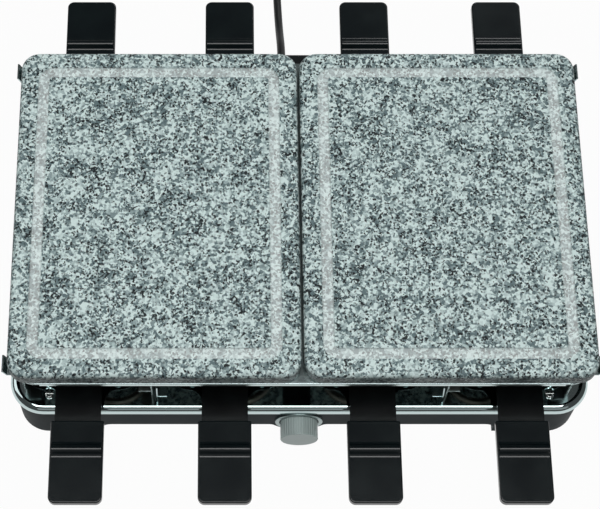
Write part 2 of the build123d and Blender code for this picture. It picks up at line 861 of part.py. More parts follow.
with BuildPart() as terminal_cover:
    with BuildSketch(Plane.XZ.offset(-tab_back_y)):
        with Locations((0, frame_under - cover_height / 2)):
            Rectangle(2 * cover_half_width, cover_height)
    extrude(amount=-cover_depth)
    fillet(terminal_cover.edges().group_by(Axis.Y)[-1], radius=cover_round)
    with BuildSketch(Plane.XZ.offset(-tab_back_y)):
        with Locations((0, frame_under - cover_height / 2)):
            Rectangle(2 * (cover_half_width - cover_wall), cover_height - 2 * cover_wall)
    extrude(amount=cover_wall - cover_depth, mode=Mode.SUBTRACT)
    with BuildSketch(Plane.XZ.offset(-tab_back_y)):
        with Locations(*[(side * cover_screw_x, element_z) for side in (-1, 1)]):
            Circle(screw_radius + fit_clearance)
    extrude(amount=-cover_depth, mode=Mode.SUBTRACT)
keep(terminal_cover, "terminal_cover")

screw_set(
    "cover_screws",
    Plane(origin=(0, cover_back_y, 0), x_dir=(-1, 0, 0), z_dir=(0, 1, 0)),
    [(side * cover_screw_x, element_z) for side in (-1, 1)],
    cover_back_y - tab_front_y + overrun,
)

# Wire riser, a square tube from the deck to the top frame

with BuildPart() as wire_riser:
    with BuildSketch(Plane.XY.offset(tray_floor)):
        with Locations((0, riser_y)):
            Rectangle(riser_width, riser_depth)
            Rectangle(
                riser_width - 2 * riser_wall, riser_depth - 2 * riser_wall, mode=Mode.SUBTRACT
            )
    extrude(amount=bay_height)
    with BuildSketch(Plane.XZ.offset(-riser_y)):
        with Locations((0, element_z)):
            Rectangle(riser_width - 2 * riser_wall, riser_window)
    extrude(amount=-riser_depth, mode=Mode.SUBTRACT)
keep(wire_riser, "wire_riser")

# Knob, its bezel ring, the thermostat and its shaft

nut_face_y = shell_front_y + screw_head_height
shaft_tip_y = knob_back + knob_bore_depth - rubber_recess
shaft_root_y = shaft_tip_y - shaft_length
body_front_y = shell_front_y - shell_wall

with BuildPart() as knob:
    with BuildSketch(Plane.YZ):
        with Locations((-(knob_back + knob_face) / 2, knob_z + knob_radius / 2)):
            Rectangle(knob_length, knob_radius)
    revolve(axis=Axis((0, 0, knob_z), (0, 1, 0)), revolution_arc=360)
    fillet(knob.edges().group_by(Axis.Y)[0], radius=knob_round)
    with BuildSketch(Plane.XZ.offset(knob_back)):
        with Locations((0, knob_z)):
            with PolarLocations(knob_radius + flute_radius / 3, flute_count):
                Circle(flute_radius)
    extrude(amount=knob_length, mode=Mode.SUBTRACT)
    with BuildSketch(Plane.XZ.offset(knob_back)):
        with Locations((0, knob_z)):
            Circle(shaft_radius + fit_clearance)
    extrude(amount=knob_bore_depth, mode=Mode.SUBTRACT)
    with BuildSketch(Plane.XZ.offset(knob_back)):
        with Locations((0, knob_z)):
            Circle(knob_recess_radius)
    extrude(amount=knob_recess_depth, mode=Mode.SUBTRACT)
keep(knob, "knob")

with BuildPart() as knob_bezel:
    with BuildSketch(Plane.XZ.offset(shell_front_y)):
        with Locations((0, knob_z)):
            Circle(bezel_radius)
            Circle(knob_radius + wall_clearance, mode=Mode.SUBTRACT)
    extrude(amount=bezel_thickness)
    fillet(knob_bezel.edges().group_by(Axis.Y)[0], radius=knob_round)
keep(knob_bezel, "knob_bezel")

terminal_places = [cord_x - wire_spacing / 2, wire_spread]
wire_low_z = cord_exit_z

with BuildPart() as thermostat_body:
    with BuildSketch(Plane.XZ.offset(body_front_y)):
        with Locations((0, (thermostat_low + thermostat_high) / 2)):
            RectangleRounded(
                thermostat_width, thermostat_high - thermostat_low, thermostat_corner
            )
    extrude(amount=-thermostat_depth)
    with BuildSketch(Plane.XZ.offset(body_front_y)):
        with Locations((0, knob_z)):
            Circle(bush_radius)
    extrude(amount=nut_face_y - body_front_y + fit_clearance)
    with BuildSketch(Plane.XZ.offset(shaft_root_y - rubber_recess)):
        with Locations((0, knob_z)):
            Circle(shaft_radius + fit_clearance)
    extrude(amount=shaft_length, mode=Mode.SUBTRACT)
    with BuildSketch(Plane.XZ.offset(body_front_y - thermostat_depth)):
        with Locations(*[(x, wire_low_z) for x in terminal_places]):
            Rectangle(terminal_tab_width, terminal_tab_thickness)
    extrude(amount=-terminal_tab_length)
keep(thermostat_body, "thermostat_body")

with BuildPart() as thermostat_nut:
    with BuildSketch(Plane.XZ.offset(shell_front_y)):
        with Locations((0, knob_z)):
            RegularPolygon(thermostat_nut_radius, 6)
            Circle(bush_radius + fit_clearance, mode=Mode.SUBTRACT)
    extrude(amount=screw_head_height)
keep(thermostat_nut, "thermostat_nut")

with BuildPart() as thermostat_shaft:
    with BuildSketch(Plane.XZ.offset(shaft_root_y)):
        with Locations((0, knob_z)):
            Circle(shaft_radius)
    extrude(amount=shaft_length)
keep(thermostat_shaft, "thermostat_shaft")

# Pans: a pressed dish with a flange and a neck, one sheet thick


def bay_plane(pan_x, outward, height):
    """A level plane at a pan's bay whose second axis points out of the grill."""
    return Plane(origin=(pan_x, 0, height), x_dir=(outward, 0, 0), z_dir=(0, 0, 1))


dish_middle = dish_end_y - dish_length / 2
tub_width = dish_width - 2 * dish_flange
tub_length = dish_length - 2 * dish_flange
tub_corner_radius = dish_corner_radius - dish_flange
neck_end_y = grip_start_y + neck_in_grip


def tub_outline(inset):
    """The dish's plan, drawn in from its upper edge by the inset."""
    with Locations((0, dish_middle)):
        RectangleRounded(tub_width - 2 * inset, tub_length - 2 * inset, tub_corner_radius - inset)


def make_pan(label, pan_x, outward):
    outer_side = outward * (1 if pan_x > 0 else -1)
    at_the_end = abs(pan_x) > pan_pitch
    with BuildPart() as pan:
        with BuildSketch(bay_plane(pan_x, outward, neck_bottom)) as outline:
            with Locations((0, dish_middle)):
                RectangleRounded(dish_width, dish_length, dish_corner_radius)
            with Locations((0, (dish_middle + neck_end_y) / 2)):
                Rectangle(neck_width, neck_end_y - dish_middle)
            for side in (-1, 1):
                tight = at_the_end and side == outer_side
                roots = outline.vertices().filter_by(
                    lambda v: abs(v.X - side * neck_width / 2) < pick_margin
                    and abs(v.Y - dish_end_y) < pick_margin
                )
                fillet(roots, radius=neck_outer_blend_radius if tight else neck_blend_radius)
        extrude(amount=pan_sheet)
        for height, inset in ((pan_bottom, dish_draft), (pan_top, 0)):
            with BuildSketch(bay_plane(pan_x, outward, height)):
                tub_outline(inset)
        loft(ruled=True)
        fillet(pan.edges().group_by(Axis.Z)[0], radius=dish_floor_round)
        for height, inset in ((pan_bottom + pan_sheet, dish_draft + pan_sheet), (pan_top, pan_sheet)):
            with BuildSketch(bay_plane(pan_x, outward, height)):
                tub_outline(inset)
        loft(ruled=True, mode=Mode.SUBTRACT)
        floor_edges = pan.edges().filter_by_position(
            Axis.Z, pan_bottom + pan_sheet - pick_margin, pan_bottom + pan_sheet + pick_margin
        )
        fillet(floor_edges, radius=dish_floor_round - pan_sheet)
    keep(pan, label)


# Pan grips, slotted for the neck, each with a cross rib

grip_high = pan_top + grip_above_neck
grip_low = grip_high - grip_thickness
rib_length = grip_width - 2 * rib_end_inset


def make_grip(label, pan_x, outward):
    with BuildPart() as grip:
        with BuildSketch(bay_plane(pan_x, outward, grip_low)) as outline:
            with Locations((0, grip_start_y + grip_length / 2)):
                Rectangle(grip_width, grip_length)
            fillet(outline.vertices().group_by(Axis.Y)[-1], radius=grip_corner_radius)
            fillet(outline.vertices().group_by(Axis.Y)[0], radius=grip_inner_corner_radius)
        extrude(amount=grip_thickness)
        fillet(grip.faces().sort_by(Axis.Z)[-1].edges(), radius=grip_edge_round)
        fillet(grip.faces().sort_by(Axis.Z)[0].edges(), radius=grip_edge_round)
        rib_middle = Plane(
            origin=(pan_x, outward * (grip_start_y + rib_centre), grip_high),
            x_dir=(0, outward, 0),
            z_dir=(outward, 0, 0),
        )
        with BuildSketch(rib_middle):
            with BuildLine():
                Polyline(
                    (-rib_half_width, -overrun),
                    (-rib_half_width, 0),
                )
                rise = TangentArc(
                    (-rib_half_width, 0), (-rib_half_width / 2, rib_height / 2), tangent=(1, 0)
                )
                crest = TangentArc(rise @ 1, (0, rib_height), tangent=rise % 1)
                fall = TangentArc(crest @ 1, (rib_half_width / 2, rib_height / 2), tangent=(1, 0))
                TangentArc(fall @ 1, (rib_half_width, 0), tangent=fall % 1)
                Polyline(
                    (rib_half_width, 0),
                    (rib_half_width, -overrun),
                    (-rib_half_width, -overrun),
                )
            make_face()
        extrude(amount=rib_length / 2, both=True)
        with BuildSketch(bay_plane(pan_x, outward, neck_bottom)):
            with Locations((0, grip_start_y + (neck_in_grip + seat_clearance - overrun) / 2)):
                Rectangle(
                    neck_width + 2 * seat_clearance, neck_in_grip + seat_clearance + overrun
                )
        extrude(amount=pan_sheet + seat_clearance, mode=Mode.SUBTRACT)
    keep(grip, label)


for outward, end_name, places in ((-1, "front", front_pan_shares), (1, "rear", rear_pan_shares)):
    for number, place in enumerate(places, start=1):
        make_pan(f"pan_{end_name}_{number}", place * pan_pitch, outward)
        make_grip(f"grip_{end_name}_{number}", place * pan_pitch, outward)

# Cord gland through the rear wall, with its nut inside

stub_end_y = shell_front_y - shell_wall - gland_nut_thickness - overrun

with BuildPart() as cord_gland:
    with BuildSketch(Plane.XZ.offset(-stub_end_y)):
        with Locations((cord_x, cord_exit_z)):
            Circle(gland_neck_radius)
    extrude(amount=stub_end_y - shell_front_y)
    with BuildSketch(Plane.XZ.offset(-shell_front_y)):
        with Locations((cord_x, cord_exit_z)):
            Circle(gland_collar_radius)
    extrude(amount=-gland_collar)
    fillet(cord_gland.edges().group_by(Axis.Y)[-1], radius=0.4 * gland_collar)
    with BuildSketch(Plane.XZ.offset(-shell_front_y - gland_collar)):
        with Locations((cord_x, cord_exit_z)):
            Circle(gland_base_radius)
    with BuildSketch(Plane.XZ.offset(-gland_end_y)):
        with Locations((cord_x, cord_exit_z)):
            Circle(gland_tip_radius)
    loft(ruled=True)
keep(cord_gland, "cord_gland")

with BuildPart() as gland_nut:
    with BuildSketch(Plane.XZ.offset(shell_wall - shell_front_y)):
        with Locations((cord_x, cord_exit_z)):
            RegularPolygon(gland_nut_radius, 6)
            Circle(gland_neck_radius + fit_clearance, mode=Mode.SUBTRACT)
    extrude(amount=gland_nut_thickness)
keep(gland_nut, "gland_nut")

# Tubes along points: each corner takes its share of the shorter run beside it


def bend_radii(points, share, largest=math.inf):
    radii = []
    for before, corner, after in zip(points, points[1:], points[2:]):
        arriving = Vector(*corner) - Vector(*before)
        leaving = Vector(*after) - Vector(*corner)
        half_turn = math.radians(arriving.get_angle(leaving)) / 2
        shorter = min(arriving.length, leaving.length)
        radii.append(min(share * shorter / math.tan(half_turn), largest))
    return radii


def report_tube(name, part, length, radius):
    """Prints a tube's length and its volume against section times length."""
    print(name, "length", round(length, 1), "volume share", round(part.volume / (math.pi * radius**2 * length), 4))


# Inner wiring, as three wires

terminal_end_y = terminal_tab_length + thermostat_depth - body_front_y
wire_end_y = block_front_y + element_pin_length - rubber_recess
neutral_x = cord_x + wire_spacing / 2
wires = {
    "wire_live": [
        (terminal_places[0], stub_end_y, cord_exit_z),
        (terminal_places[0], terminal_end_y, wire_low_z),
    ],
    "wire_switched": [
        (wire_spread, terminal_end_y, wire_low_z),
        (wire_spread, wire_rise_y, wire_low_z),
        (wire_spread, wire_rise_y, element_z),
        (wire_spread, wire_end_y, element_z),
    ],
    "wire_neutral": [
        (neutral_x, stub_end_y, cord_exit_z),
        (neutral_x, wire_rise_y + gland_nut_thickness, cord_exit_z),
        (-wire_spread, wire_rise_y, cord_exit_z + gland_nut_radius),
        (-wire_spread, wire_rise_y, element_z),
        (-wire_spread, wire_end_y, element_z),
    ],
}
for name, points in wires.items():
    first_run = Vector(*points[1]) - Vector(*points[0])
    with BuildPart() as wire:
        with BuildLine() as route:
            if len(points) == 2:
                Line(*points)
            else:
                FilletPolyline(*points, radius=bend_radii(points, tail_share, wire_bend))
        with BuildSketch(Plane(origin=points[0], z_dir=first_run)):
            Circle(wire_radius)
        sweep(path=route.wires()[0])
    keep(wire, name)

# Mains lead from the gland down to the table, and on to the coil

coil_start_x = coil_centre_x + coil_radius
coil_lead_in = 2 * cord_radius
lead_points = [
    (cord_x, gland_end_y, cord_exit_z),
    *cord_laid_points,
    (coil_start_x, coil_centre_y - coil_lead_in, cord_radius),
]
lead_radii = bend_radii(lead_points, tail_share)
print("power cord bend radii", [round(radius, 1) for radius in lead_radii])

with BuildPart() as power_cord:
    with BuildLine() as route:
        FilletPolyline(*lead_points, radius=lead_radii)
    with BuildSketch(Plane.XZ.offset(-gland_end_y)):
        with Locations((cord_x, cord_exit_z)):
            Circle(cord_radius)
    sweep(path=route.wires()[0])
keep(power_cord, "power_cord")
report_tube("power cord", power_cord.part, route.wires()[0].length, cord_radius)

# The rest of the lead, put away as one flat coil in two layers, wound in and out again

crossings = []
for number, share in enumerate(coil_step_shares):
    side = 1 if number % 2 == 0 else -1
    layer = 0 if number < len(coil_step_shares) // 2 else 1
    crossings.append(
        Vector(
            coil_centre_x + side * (coil_radius - share * coil_pitch),
            coil_centre_y,
            cord_radius + layer * coil_pitch,
        )
    )

with BuildPart() as cord_coil:
    with BuildLine() as route:
        Line(crossings[0] - Vector(0, coil_lead_in, 0), crossings[0])
        for number, (here, there) in enumerate(zip(crossings, crossings[1:])):
            heading = 1 if number % 2 == 0 else -1
            reach = math.hypot(there.X - here.X, there.Z - here.Z) / 2
            middle = (here + there) / 2 + Vector(0, heading * reach, 0)
            if here.Z == there.Z:
                ThreePointArc(here, middle, there)
            else:
                climb = TangentArc(here, middle, tangent=(0, heading, 0))
                TangentArc(middle, there, tangent=climb % 1)
        Line(crossings[-1], crossings[-1] + Vector(0, coil_lead_in, 0))
    with BuildSketch(Plane.XZ.offset(coil_lead_in - coil_centre_y)):
        with Locations((coil_start_x, cord_radius)):
            Circle(cord_radius)
    sweep(path=route.wires()[0])
keep(cord_coil, "cord_coil")
coil_length = route.wires()[0].length
report_tube("cord coil", cord_coil.part, coil_length, cord_radius)

coil_samples = int(coil_length / cord_radius)
coil_points = [route.wires()[0] @ (step / coil_samples) for step in range(coil_samples + 1)]
least_gap = min(
    (first - second).length - 2 * cord_radius
    for number, first in enumerate(coil_points)
    for second in coil_points[number + 10 :]
)
print("least gap of the coil to itself", round(least_gap, 3))

# The lead's last run, from the coil to the plug

tail_start = crossings[-1] + Vector(0, coil_lead_in, 0)
tail_rise = plug_axis_z - tail_start.Z
tail_route = [(tail_start.X, tail_start.Y, tail_start.Z)]
for step_x, step_y, rise in tail_points:
    tail_route.append((tail_start.X + step_x, tail_start.Y + step_y, tail_start.Z + (tail_rise if rise else 0)))
tail_radii = bend_radii(tail_route, tail_share)
print("lead tail bend radii", [round(radius, 1) for radius in tail_radii])

with BuildPart() as cord_tail:
    with BuildLine() as route:
        FilletPolyline(*tail_route, radius=tail_radii)
    with BuildSketch(Plane.XZ.offset(-tail_start.Y)):
        with Locations((tail_start.X, tail_start.Z)):
            Circle(cord_radius)
    sweep(path=route.wires()[0])
keep(cord_tail, "cord_tail")
report_tube("cord tail", cord_tail.part, route.wires()[0].length, cord_radius)

# Plug lying on the table, with its two pins

plug_start_y = tail_route[-1][1]
plug_face_y = plug_start_y + plug_sleeve_length + plug_body_length

with BuildPart() as plug_body:
    with BuildSketch(Plane.YZ.offset(tail_start.X)):
        with BuildLine():
            Polyline(
                (plug_start_y, plug_axis_z),
                (plug_start_y, plug_axis_z + plug_sleeve_radius * 0.8),
                (plug_start_y + plug_sleeve_length, plug_axis_z + plug_sleeve_radius),
                (plug_start_y + plug_sleeve_length, plug_axis_z + plug_neck_radius),
                (plug_face_y - plug_face_length, plug_axis_z + plug_face_radius),
                (plug_face_y, plug_axis_z + plug_face_radius),
                (plug_face_y, plug_axis_z),
                close=True,
            )
        make_face()
    revolve(axis=Axis((tail_start.X, 0, plug_axis_z), (0, 1, 0)), revolution_arc=360)
    fillet(plug_body.edges().group_by(Axis.Y)[-1], radius=knob_round)
    with BuildSketch(Plane.XZ.offset(-plug_face_y)):
        with Locations((tail_start.X, plug_axis_z)):
            with GridLocations(pin_spacing, 0, 2, 1):
                Circle(pin_radius + fit_clearance)
    extrude(amount=pin_root + fit_clearance, mode=Mode.SUBTRACT)
keep(plug_body, "plug_body")

with BuildPart() as plug_pins:
    with BuildSketch(Plane.XZ.offset(pin_root - plug_face_y)):
        with Locations((tail_start.X, plug_axis_z)):
            with GridLocations(pin_spacing, 0, 2, 1):
                Circle(pin_radius)
    extrude(amount=-pin_root - pin_length)
    fillet(plug_pins.edges().group_by(Axis.Y)[-1], radius=0.6 * pin_radius)
keep(plug_pins, "plug_pins")
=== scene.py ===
"""A two-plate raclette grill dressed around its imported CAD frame.

Every length is in metres, in the frame's own axes: +Z up, +Y towards the mains lead.
"""

import logging
import math
from collections.abc import Iterable
from dataclasses import dataclass, field
from enum import Enum

import bpy
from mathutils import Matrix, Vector

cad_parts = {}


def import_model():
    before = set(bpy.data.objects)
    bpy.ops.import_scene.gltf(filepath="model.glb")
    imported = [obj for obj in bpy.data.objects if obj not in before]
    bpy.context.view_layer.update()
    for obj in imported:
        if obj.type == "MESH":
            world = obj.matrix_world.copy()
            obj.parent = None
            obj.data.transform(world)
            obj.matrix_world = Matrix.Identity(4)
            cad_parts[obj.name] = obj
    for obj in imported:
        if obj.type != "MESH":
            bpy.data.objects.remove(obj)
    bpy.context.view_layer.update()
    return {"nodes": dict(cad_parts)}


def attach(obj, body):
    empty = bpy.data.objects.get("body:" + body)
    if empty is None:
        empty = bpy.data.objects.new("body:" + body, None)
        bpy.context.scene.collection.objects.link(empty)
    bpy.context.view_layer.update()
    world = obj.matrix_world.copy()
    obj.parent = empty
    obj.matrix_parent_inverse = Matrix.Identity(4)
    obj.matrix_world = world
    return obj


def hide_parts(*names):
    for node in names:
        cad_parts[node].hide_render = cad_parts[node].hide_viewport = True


LOG = logging.getLogger("raclette")

Point = tuple[float, float, float]

SIDES = ("left", "right")
ENDS = ("front", "rear")

# A noise texture's values lie nearly all between these two.
NOISE_LOW = 0.3
NOISE_HIGH = 0.7
# Height of the finest relief on metal and moulded skins.
SKIN_RELIEF = 0.0001
# No finish is smoother than this.
LEAST_ROUGHNESS = 0.02


# Colour and node helpers


def srgb(code: str) -> tuple[float, float, float, float]:
    """Turns an sRGB hex colour into linear RGBA.

    Args:
        code: Six hex digits with a leading hash.

    Returns:
        The linear red, green and blue, and an alpha of one.
    """
    shares = [int(code[place : place + 2], 16) / 255 for place in (1, 3, 5)]
    linear = [s / 12.92 if s <= 0.04045 else ((s + 0.055) / 1.055) ** 2.4 for s in shares]
    return (linear[0], linear[1], linear[2], 1.0)


def add_node(
    tree: bpy.types.NodeTree,
    kind: str,
    settings: dict[str, object] | None = None,
    links: dict[int | str, object] | None = None,
) -> bpy.types.Node:
    """Adds one shader node.

    Args:
        tree: The node tree that takes it.
        kind: Blender's identifier of the node.
        settings: Attributes of the node to set, such as its operation.
        links: What goes into each input: another node's output socket, or a plain value.

    Returns:
        The new node.
    """
    node = tree.nodes.new(kind)
    for name, value in (settings or {}).items():
        setattr(node, name, value)
    for name, value in (links or {}).items():
        if isinstance(value, bpy.types.NodeSocket):
            tree.links.new(value, node.inputs[name])
        else:
            node.inputs[name].default_value = value
    return node


def colour_ramp(
    tree: bpy.types.NodeTree,
    factor: bpy.types.NodeSocket,
    stops: list[tuple[float, str]],
) -> bpy.types.NodeSocket:
    """Adds a colour ramp and returns its colour.

    Args:
        tree: The node tree that takes it.
        factor: What drives the ramp.
        stops: Positions and their sRGB hex colours, in order.

    Returns:
        The ramp's colour output.
    """
    node = add_node(tree, "ShaderNodeValToRGB", links={"Fac": factor})
    ramp = node.color_ramp
    while len(ramp.elements) < len(stops):
        ramp.elements.new(1.0)
    for element, (place, code) in zip(ramp.elements, stops):
        element.position = place
        element.color = srgb(code)
    return node.outputs["Color"]


def fresh_material(name: str) -> tuple[bpy.types.Material, bpy.types.NodeTree, bpy.types.Node]:
    """Starts a node material.

    Args:
        name: The finish's name.

    Returns:
        The material, its tree and its principled shader.
    """
    material = bpy.data.materials.new(name)
    material.use_nodes = True
    tree = material.node_tree
    return material, tree, tree.nodes["Principled BSDF"]


# Finishes


@dataclass(frozen=True)
class HonedGranite:
    """Granite sawn, honed flat and left unpolished.

    It shows interlocking grains of white feldspar, grey quartz and black mica about two
    millimetres across, with hardly any gloss. The milled floor of the juice groove takes a paler
    painted highlight.

    Attributes:
        grain: Size of a feldspar or quartz grain.
        fleck: Size of a mica fleck.
        warp_rate: Waves of the grains' crooked outlines, per grain.
        warp_reach: How far those waves shift an outline, in grains.
        patch_rate: Darker and lighter patches per grain.
        patch_gain: How strongly the patches sway the choice of a grain's colour.
        quartz_end: Share up to which a grain is quartz.
        pale_grey_at: Share at which a grain is pale grey.
        feldspar_start: Share from which a grain is feldspar.
        mica_all: Share below which a fleck is wholly mica.
        mica_none: Share above which there is none.
        groove_highlight_share: How far the groove's floor goes to its painted highlight.
        upright_painted_shade: Brightness of the painted shade on the upright faces.
        upright_below: Level part of the normal below which a face is upright.
        level_above: Level part of the normal above which a face is level.
        groove_inner_x: Groove's edge nearest the grill's middle.
        groove_outer_x: Groove's edge nearest the grill's side.
        groove_end_y: Groove's edge nearest the front and rear.
        groove_below: Height that lies under the groove's floor.
        top: Height of the plates' upper faces.
        top_skin: How far under the upper face the groove starts.
        pit: Size of the pores.
        pit_depth: Their depth.
    """

    name: str = "honed_granite"
    grain: float = 0.0020
    fleck: float = 0.0014
    warp_rate: float = 0.7
    warp_reach: float = 1.1
    patch_rate: float = 0.16
    patch_gain: float = 0.9
    quartz_end: float = 0.22
    pale_grey_at: float = 0.46
    feldspar_start: float = 0.78
    mica_all: float = 0.12
    mica_none: float = 0.25
    feldspar: str = "#d6e8e6"
    pale_grey: str = "#a5b9b9"
    quartz: str = "#5f7376"
    mica: str = "#0d171a"
    groove_painted_highlight: str = "#f2faf9"
    groove_highlight_share: float = 0.4
    upright_painted_shade: float = 0.42
    upright_below: float = 0.2
    level_above: float = 0.8
    groove_inner_x: float = 0.011
    groove_outer_x: float = 0.219
    groove_end_y: float = 0.1315
    groove_below: float = 0.12
    top: float = 0.130
    top_skin: float = 0.0002
    roughness: float = 0.52
    specular: float = 0.35
    pit: float = 0.0012
    pit_depth: float = 0.0003
    pit_strength: float = 0.25

    def build(self) -> bpy.types.Material:
        """Makes the material.

        Returns:
            The finished material.
        """
        material, tree, shader = fresh_material(self.name)
        place = add_node(tree, "ShaderNodeTexCoord").outputs["Object"]
        wobble = add_node(
            tree,
            "ShaderNodeTexNoise",
            links={"Vector": place, "Scale": self.warp_rate / self.grain, "Detail": 2.0},
        )
        centred = add_node(
            tree,
            "ShaderNodeVectorMath",
            {"operation": "SUBTRACT"},
            {0: wobble.outputs["Color"], 1: (0.5, 0.5, 0.5)},
        )
        shifted = add_node(
            tree,
            "ShaderNodeVectorMath",
            {"operation": "MULTIPLY_ADD"},
            {0: centred.outputs["Vector"], 1: (self.grain * self.warp_reach,) * 3, 2: place},
        ).outputs["Vector"]
        grains = add_node(
            tree,
            "ShaderNodeTexVoronoi",
            {"feature": "F1"},
            {"Vector": shifted, "Scale": 1 / self.grain, "Randomness": 1.0},
        )
        grain_pick = add_node(
            tree, "ShaderNodeSeparateColor", links={"Color": grains.outputs["Color"]}
        )
        patches = add_node(
            tree,
            "ShaderNodeTexNoise",
            links={"Vector": place, "Scale": self.patch_rate / self.grain, "Detail": 3.0},
        )
        sway = add_node(
            tree,
            "ShaderNodeMath",
            {"operation": "MULTIPLY_ADD"},
            {0: patches.outputs["Fac"], 1: self.patch_gain, 2: -self.patch_gain / 2},
        )
        pick = add_node(
            tree,
            "ShaderNodeMath",
            {"operation": "ADD"},
            {0: grain_pick.outputs["Red"], 1: sway.outputs["Value"]},
        )
        ground = colour_ramp(
            tree,
            pick.outputs["Value"],
            [
                (0.0, self.quartz),
                (self.quartz_end, self.quartz),
                (self.pale_grey_at, self.pale_grey),
                (self.feldspar_start, self.feldspar),
                (1.0, self.feldspar),
            ],
        )
        flecks = add_node(
            tree,
            "ShaderNodeTexVoronoi",
            {"feature": "F1"},
            {"Vector": shifted, "Scale": 1 / self.fleck, "Randomness": 1.0},
        )
        fleck_pick = add_node(
            tree, "ShaderNodeSeparateColor", links={"Color": flecks.outputs["Color"]}
        )
        fleck_sum = add_node(
            tree,
            "ShaderNodeMath",
            {"operation": "ADD"},
            {0: fleck_pick.outputs["Green"], 1: sway.outputs["Value"]},
        )
        fleck_mask = add_node(
            tree,
            "ShaderNodeMapRange",
            links={
                "Value": fleck_sum.outputs["Value"],
                "From Min": self.mica_all,
                "From Max": self.mica_none,
                "To Min": 1.0,
                "To Max": 0.0,
            },
        )
        stone = add_node(
            tree,
            "ShaderNodeMix",
            {"data_type": "RGBA"},
            {0: fleck_mask.outputs["Result"], 6: ground, 7: srgb(self.mica)},
        )
        groove = self._groove_mask(tree, place)
        # The groove's milled floor takes a painted highlight, paler than the stone around it.
        groove_highlight_amount = add_node(
            tree, "ShaderNodeMath", {"operation": "MULTIPLY"}, {0: groove, 1: self.groove_highlight_share}
        )
        # Painted shade on the upright faces, kept off the groove.
        painted_shade_factor = add_node(
            tree,
            "ShaderNodeMath",
            {"operation": "MAXIMUM"},
            {0: self._painted_upright_shade_factor(tree), 1: groove},
        )
        body = add_node(
            tree,
            "ShaderNodeVectorMath",
            {"operation": "SCALE"},
            {0: stone.outputs[2], "Scale": painted_shade_factor.outputs["Value"]},
        )
        # Paints the highlight on the groove's floor over the stone.
        final = add_node(
            tree,
            "ShaderNodeMix",
            {"data_type": "RGBA"},
            {
                0: groove_highlight_amount.outputs["Value"],
                6: body.outputs["Vector"],
                7: srgb(self.groove_painted_highlight),
            },
        )
        tree.links.new(final.outputs[2], shader.inputs["Base Color"])
        shader.inputs["Roughness"].default_value = self.roughness
        shader.inputs["Specular IOR Level"].default_value = self.specular
        pits = add_node(
            tree,
            "ShaderNodeTexNoise",
            links={"Vector": place, "Scale": 1 / self.pit, "Detail": 3.0},
        )
        bump = add_node(
            tree,
            "ShaderNodeBump",
            links={
                "Height": pits.outputs["Fac"],
                "Strength": self.pit_strength,
                "Distance": self.pit_depth,
            },
        )
        tree.links.new(bump.outputs["Normal"], shader.inputs["Normal"])
        return material

    def _painted_upright_shade_factor(self, tree: bpy.types.NodeTree) -> bpy.types.NodeSocket:
        """Paints shade on the upright faces, darker the more upright they are.

        Args:
            tree: The material's tree.

        Returns:
            One on level faces, falling to the painted shade on upright ones.
        """
        facing = add_node(tree, "ShaderNodeNewGeometry").outputs["True Normal"]
        split = add_node(tree, "ShaderNodeSeparateXYZ", links={"Vector": facing})
        level = add_node(tree, "ShaderNodeMath", {"operation": "ABSOLUTE"}, {0: split.outputs["Z"]})
        shade = add_node(
            tree,
            "ShaderNodeMapRange",
            links={
                "Value": level.outputs["Value"],
                "From Min": self.upright_below,
                "From Max": self.level_above,
                "To Min": self.upright_painted_shade,
                "To Max": 1.0,
            },
        )
        return shade.outputs["Result"]

    def _groove_mask(
        self, tree: bpy.types.NodeTree, place: bpy.types.NodeSocket
    ) -> bpy.types.NodeSocket:
        """Marks the juice groove.

        Args:
            tree: The material's tree.
            place: The point in the piece's own frame, so that the pattern moves with it.

        Returns:
            One in the groove and zero elsewhere.
        """
        split = add_node(tree, "ShaderNodeSeparateXYZ", links={"Vector": place})
        bounds = (
            ("X", self.groove_inner_x, self.groove_outer_x),
            ("Y", -1.0, self.groove_end_y),
            ("Z", self.groove_below, self.top - self.top_skin),
        )
        mask: bpy.types.NodeSocket | None = None
        for axis, low, high in bounds:
            size = add_node(
                tree, "ShaderNodeMath", {"operation": "ABSOLUTE"}, {0: split.outputs[axis]}
            )
            above = add_node(
                tree,
                "ShaderNodeMath",
                {"operation": "GREATER_THAN"},
                {0: size.outputs["Value"], 1: low},
            )
            below = add_node(
                tree,
                "ShaderNodeMath",
                {"operation": "LESS_THAN"},
                {0: size.outputs["Value"], 1: high},
            )
            both = add_node(
                tree,
                "ShaderNodeMath",
                {"operation": "MULTIPLY"},
                {0: above.outputs["Value"], 1: below.outputs["Value"]},
            ).outputs["Value"]
            if mask is None:
                mask = both
            else:
                mask = add_node(
                    tree, "ShaderNodeMath", {"operation": "MULTIPLY"}, {0: mask, 1: both}
                ).outputs["Value"]
        return mask


class Lay(Enum):
    """Which way a metal's fine lines run, as the pattern's rate along each axis."""

    NONE = (1.0, 1.0, 1.0)
    ACROSS = (0.04, 1.0, 1.0)


